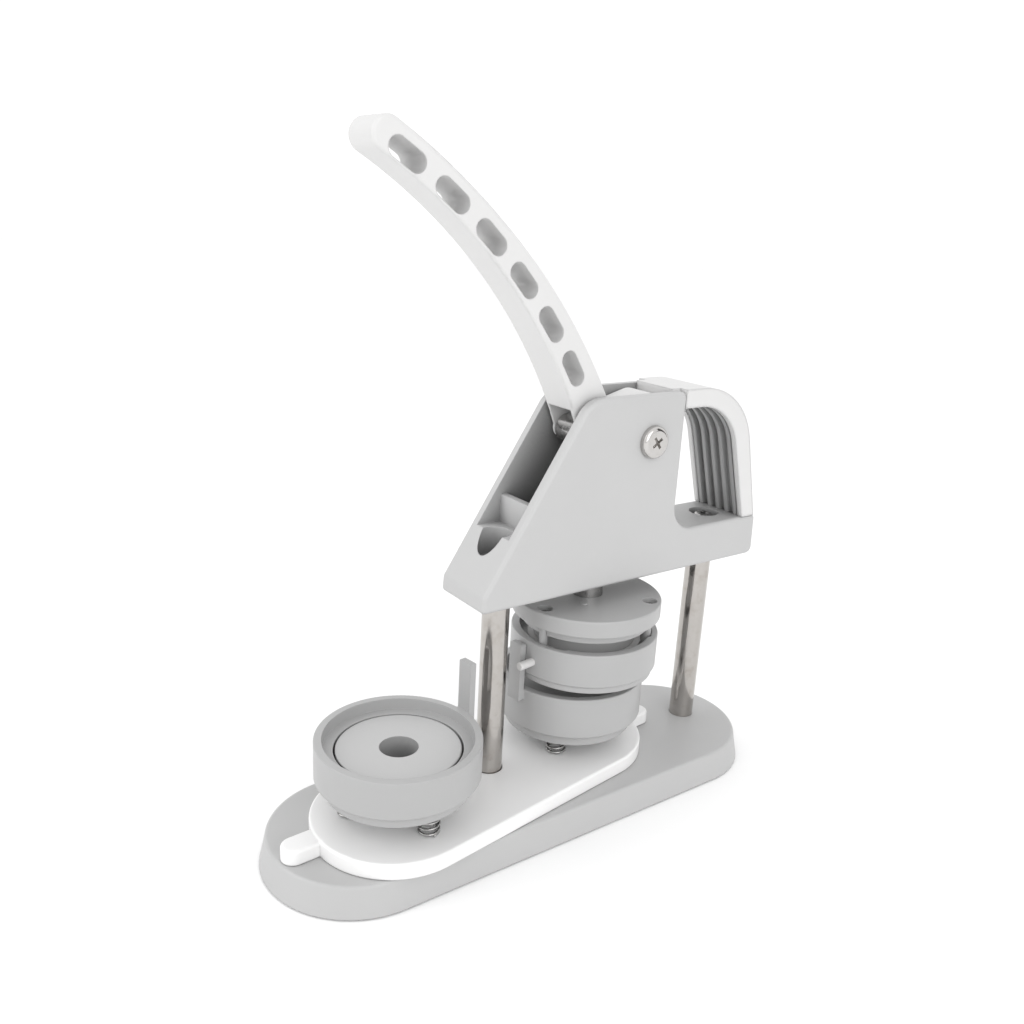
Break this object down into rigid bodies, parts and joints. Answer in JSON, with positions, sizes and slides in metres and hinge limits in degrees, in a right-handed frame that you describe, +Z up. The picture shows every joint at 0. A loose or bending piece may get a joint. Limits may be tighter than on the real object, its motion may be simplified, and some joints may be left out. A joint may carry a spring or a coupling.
{
  "type": "button badge maker",
  "caption": "Hand press for pin badges: lever and roller drive a plunger with a floating upper ring onto sprung lower dies that swing on a turntable.",
  "frame": {"origin": "middle of the base's underside, on the surface it stands on", "axes": "+Z up, -Y towards the user and the loading die, +X to the user's right"},
  "size_m": [0.0954, 0.2838, 0.3245],
  "materials": {
    "grey_plastic": "fine satin moulding",
    "white_plastic": "fine satin moulding",
    "polished_steel": "polished",
    "plated_steel": "zinc plated",
    "spring_steel": "bright drawn wire",
    "brass": "turned",
    "black_rubber": "matt",
    "slide_plastic": "low-friction moulding"
  },
  "bodies": {
    "stand": {"base_shell": "grey_plastic", "base_cover": "grey_plastic", "rubber_feet": "black_rubber", "cover_screws": "plated_steel", "front_pillar": "polished_steel", "rear_pillar": "polished_steel", "pillar_foot_screws": "plated_steel", "pillar_top_screws": "plated_steel", "pivot_washer": "plated_steel", "housing": "grey_plastic", "guide_bush": "slide_plastic", "pivot_bolt": "polished_steel", "pivot_nut": "plated_steel", "handle_strap": "white_plastic", "handle_liner": "grey_plastic", "return_spring": "spring_steel"},
    "turntable": {"turntable": "white_plastic", "turntable_bush": "slide_plastic", "front_core": "grey_plastic", "rear_core": "grey_plastic", "front_core_screws": "plated_steel", "rear_core_screws": "plated_steel", "front_die_springs": "spring_steel", "rear_die_springs": "spring_steel"},
    "front_die": {"front_die_ring": "grey_plastic"},
    "rear_die": {"rear_die_ring": "grey_plastic"},
    "plunger": {"plunger": "plated_steel", "plunger_screw": "plated_steel", "top_plate": "grey_plastic", "punch": "grey_plastic", "posts": "grey_plastic", "post_screws": "plated_steel", "post_stop_screws": "plated_steel"},
    "ring_float": {"float_sleeve": "slide_plastic"},
    "upper_ring": {"upper_ring": "grey_plastic", "switch_peg": "white_plastic"},
    "lever": {"lever": "white_plastic", "lever_bush": "brass", "lever_washers": "slide_plastic", "roller_pin": "plated_steel", "roller_spacers": "slide_plastic"},
    "press_roller": {"press_roller": "plated_steel"}
  },
  "joints": [
    {"name": "lever_hinge", "type": "hinge", "parent": "stand", "child": "lever", "pos_m": [0, 0.0523, 0.189], "axis": [1, 0, 0], "range_deg": [0, 50]},
    {"name": "roller_spin", "type": "hinge", "parent": "lever", "child": "press_roller", "pos_m": [0, 0.0171, 0.1945], "axis": [1, 0, 0], "continuous": true},
    {"name": "plunger_slide", "type": "slide", "parent": "stand", "child": "plunger", "axis": [0, 0, -1], "range_m": [0, 0.0145], "stiffness_N_per_m": 900, "springref_m": -0.012, "deforming": ["return_spring"]},
    {"name": "ring_float_slide", "type": "slide", "parent": "plunger", "child": "ring_float", "axis": [0, 0, 1], "range_m": [0, 0.0085]},
    {"name": "ring_switch", "type": "hinge", "parent": "ring_float", "child": "upper_ring", "pos_m": [0, 0.0334, 0.08], "axis": [0, 0, 1], "range_deg": [-17.7, 0.9]},
    {"name": "turntable_swing", "type": "hinge", "parent": "stand", "child": "turntable", "pos_m": [0, -0.0237, 0.02], "axis": [0, 0, 1], "range_deg": [-8, 172]},
    {"name": "front_die_slide", "type": "slide", "parent": "turntable", "child": "front_die", "axis": [0, 0, -1], "range_m": [0, 0.007], "stiffness_N_per_m": 2500, "springref_m": -0.004, "deforming": ["front_die_springs"]},
    {"name": "rear_die_slide", "type": "slide", "parent": "turntable", "child": "rear_die", "axis": [0, 0, -1], "range_m": [0, 0.007], "stiffness_N_per_m": 2500, "springref_m": -0.004, "deforming": ["rear_die_springs"]}
  ],
  "couplings": [
    {"joint": "plunger_slide", "follows": "lever_hinge", "m_per_rad": 0.016616},
    {"joint": "ring_float_slide", "follows": "lever_hinge", "m_per_rad": 0.0097403},
    {"joint": "ring_switch", "follows": "turntable_swing", "ratio": -0.10233}
  ]
}
